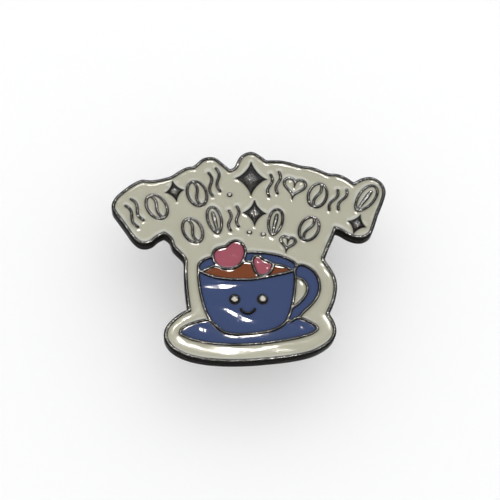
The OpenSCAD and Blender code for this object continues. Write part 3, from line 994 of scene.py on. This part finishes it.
class PIN_OT_hearts(bpy.types.Operator):
    """Fill the two hearts with pink enamel."""

    bl_idname = "pin.hearts"
    bl_label = "Pink enamel"

    def execute(self, context):
        make_fills(context, "pink")
        return {"FINISHED"}


def level_centre(level, z):
    """The axis of a level's post, at the height z."""
    low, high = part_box(level + "_post")
    return ((low.x + high.x) / 2, (low.y + high.y) / 2, z)


class PIN_OT_posts(bpy.types.Operator):
    """Turn the posts and lay the solder round their heads."""

    bl_idname = "pin.posts"
    bl_label = "Posts"

    def execute(self, context):
        s = context.scene.pin_clutch
        for level in LEVELS:
            centre = level_centre(level, PLATE_LOW.z)
            low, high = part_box(level + "_post")
            head, tip = (high.x - low.x) / 2 / MM, (low.z - PLATE_LOW.z) / MM
            r = POST_R / MM
            corners = [(AXIS_R, 0, 0), (head, 0, 0.02), (head, -HEAD_T, 0.09), (r, -HEAD_T, 0.10),
                       (r, -NECK_START, 0.03), (r - NECK_CUT, -NECK_START - NECK_RAMP, 0.08),
                       (r - NECK_CUT, -NECK_END + NECK_RAMP, 0.08), (r, -NECK_END, 0.03),
                       (r, tip + POINT_LEN, 0.25), (POINT_R, tip, 0.06), (AXIS_R, tip, 0)]
            place_piece(lathe(level + "_turned_post", corners, centre, finish_of(post_steel, s)),
                        "pin", "post_steel", level + "_post")
            low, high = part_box(level + "_solder")
            wide = (high.x - low.x) / 2 / MM
            corners = [(head - SOLDER_LAP, 0, 0), (wide - SOLDER_SHAKE, 0, 0.01),
                       (head + 0.24, -0.4 * SOLDER_H, 0.10), (head + 0.02, -SOLDER_H, 0.06),
                       (head - SOLDER_LAP, -SOLDER_H, 0)]
            ring = lathe(level + "_solder_ring", corners, centre, finish_of(solder_finish, s), SOLDER_SHAKE)
            place_piece(ring, "pin", "solder", level + "_solder")
        return {"FINISHED"}


class PIN_OT_clutches(bpy.types.Operator):
    """Spin the clutches' front plates, finish their caps and cut their springs as strips with rounded
    edges.
    """

    bl_idname = "pin.clutches"
    bl_label = "Clutches"

    def execute(self, context):
        s = context.scene.pin_clutch
        for level in LEVELS:
            body = level + "_clutch"
            nickel = finish_of(bright_nickel, s)
            low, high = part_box(level + "_clutch_plate")
            r, deep = (high.x - low.x) / 2 / MM, (low.z - high.z) / MM
            corners = [(HOLE_R, -SHEET_T, 0), (HOLE_R, 0, 0.07),
                       (DISH_IN, 0, 0.12), (DISH_IN + DISH_RAMP, -DISH_DEEP, 0.12),
                       (DISH_OUT - DISH_RAMP, -DISH_DEEP, 0.12), (DISH_OUT, 0, 0.12),
                       (GROOVE_R - GROOVE_HALF, 0, 0.08), (GROOVE_R, -GROOVE_DEEP, 0.05),
                       (GROOVE_R + GROOVE_HALF, 0, 0.08), (r, 0, 0.30), (r, deep, 0.24),
                       (r - LIP_W, deep, 0.05), (r - LIP_W, -LIP_LEVEL, 0), (r - SHEET_T, -LIP_LEVEL, 0),
                       (r - SHEET_T, -SHEET_T, 0)]
            plate = lathe(level + "_spun_plate", corners, level_centre(level, high.z), nickel)
            place_piece(plate, body, "clutch_nickel", level + "_clutch_plate")
            refine_node(level + "_clutch_cap", nickel, s.soft_edge)
            strip = slab(level + "_clutch_spring", SPRING_ROUND)
            spring = strip.piece(level + "_bow_spring", finish_of(spring_finish, s))
            place_piece(spring, body, "spring_steel", level + "_clutch_spring")
            low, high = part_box(level + "_clutch_spring")
            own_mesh(spring)
        return {"FINISHED"}


class PIN_OT_wings(bpy.types.Operator):
    """Finish the four finger wings with their jaw leaves."""

    bl_idname = "pin.wings"
    bl_label = "Wings"

    def execute(self, context):
        s = context.scene.pin_clutch
        for level in LEVELS:
            for side in SIDES:
                refine_node(f"{level}_{side}_wing", finish_of(bright_nickel, s), s.soft_edge)
        return {"FINISHED"}


def look_at(obj, eye, target):
    """Puts a camera or light at eye, facing target, with +Y upwards in its view."""
    back = (Vector(eye) - Vector(target)).normalized()
    right = Vector((0, 1, 0)).cross(back).normalized()
    turn = Matrix((right, back.cross(right), back)).transposed()
    obj.matrix_world = Matrix.Translation(eye) @ turn.to_4x4()


def soft_light(name, place, target, width, height, radiance, colour):
    """A rectangular light panel of the given brightness, in watts a square metre and steradian."""
    data = bpy.data.lights.new(name, "AREA")
    data.shape = "RECTANGLE"
    data.size = width
    data.size_y = height
    data.energy = radiance * math.pi * width * height
    data.color = colour
    obj = bpy.data.objects.new(name, data)
    bpy.context.scene.collection.objects.link(obj)
    look_at(obj, place, target)
    return obj


class PIN_OT_stage(bpy.types.Operator):
    """Set up the camera, the floor and the studio lights."""

    bl_idname = "pin.stage"
    bl_label = "Stage"

    def execute(self, context):
        s = context.scene.pin_stage
        face = Vector((0, 0, TOP_Z))
        camera = bpy.data.objects.new("camera", bpy.data.cameras.new("camera"))
        camera.data.lens = s.lens
        camera.data.sensor_width = SENSOR_MM
        camera.data.clip_start = 0.001
        camera.data.clip_end = 10
        context.scene.collection.objects.link(camera)
        look_at(camera, face + Vector(s.eye), face + Vector(s.aim))
        context.scene.camera = camera
        self.floor(s)
        self.lights(context, face)
        return {"FINISHED"}

    def floor(self, s):
        """A flat board that sweeps up far from the pin on all sides."""
        shell = Shell()
        rings = []
        for angle in np.linspace(0, math.pi / 2, 13):
            radius = FLAT_R + SWEEP_R * math.sin(angle)
            turn = np.linspace(0, 2 * math.pi, LATHE_SEGMENTS, endpoint=False)
            ring = np.stack([radius * np.cos(turn), radius * np.sin(turn)], 1)
            rings.append(shell.add(ring, SWEEP_R * (1 - math.cos(angle))))
        shell.faces.append(tuple(rings[0]))
        for inner, outer in zip(rings, rings[1:]):
            shell.wall(inner, outer)
        shell.piece("floor", finish_of(paper_finish, s))

    def lights(self, context, face):
        """An even room that metal doesn't mirror, and the light panels."""
        world = bpy.data.worlds.new("room")
        world.use_nodes = True
        back = world.node_tree.nodes["Background"]
        back.inputs["Color"].default_value = (*ROOM_COLOUR, 1)
        back.inputs["Strength"].default_value = ROOM_STRENGTH
        context.scene.world = world
        world.cycles_visibility.glossy = False
        for name, (place, width, height, radiance, colour, lights_up) in PANELS.items():
            light = soft_light(name, face + Vector(place), face, width, height, radiance, colour)
            light.visible_camera = False
            light.visible_diffuse = lights_up
            light.data.use_shadow = name == "ceiling"
        context.scene.view_settings.view_transform = "Standard"


class PIN_PT_panel(bpy.types.Panel):
    """Lists the pin's pieces in the order they are built."""

    bl_idname = "PIN_PT_panel"
    bl_label = "Enamel Pin"
    bl_space_type = "VIEW_3D"
    bl_region_type = "UI"
    bl_category = "Pin"

    def draw(self, context):
        for group in SETTINGS:
            settings = getattr(context.scene, group)
            box = self.layout.box()
            for key in settings.bl_rna.properties.keys():
                if key not in ("rna_type", "name"):
                    box.prop(settings, key)
        for operator in OPERATORS:
            self.layout.operator(operator.bl_idname)


OPERATORS = (PIN_OT_stage, PIN_OT_plate, PIN_OT_cream, PIN_OT_blue, PIN_OT_coffee, PIN_OT_hearts,
             PIN_OT_posts, PIN_OT_clutches, PIN_OT_wings)
CLASSES = (*SETTINGS.values(), *OPERATORS, PIN_PT_panel)


def register():
    for cls in CLASSES:
        bpy.utils.register_class(cls)
    for name, group in SETTINGS.items():
        setattr(bpy.types.Scene, name, bpy.props.PointerProperty(type=group))


def unregister():
    for name in SETTINGS:
        delattr(bpy.types.Scene, name)
    for cls in reversed(CLASSES):
        bpy.utils.unregister_class(cls)


def main():
    register()
    bpy.ops.pin.stage()
    bpy.ops.pin.plate()
    bpy.ops.pin.cream()
    bpy.ops.pin.blue()
    bpy.ops.pin.coffee()
    bpy.ops.pin.hearts()
    bpy.ops.pin.posts()
    bpy.ops.pin.clutches()
    bpy.ops.pin.wings()


if __name__ == "__main__":
    main()
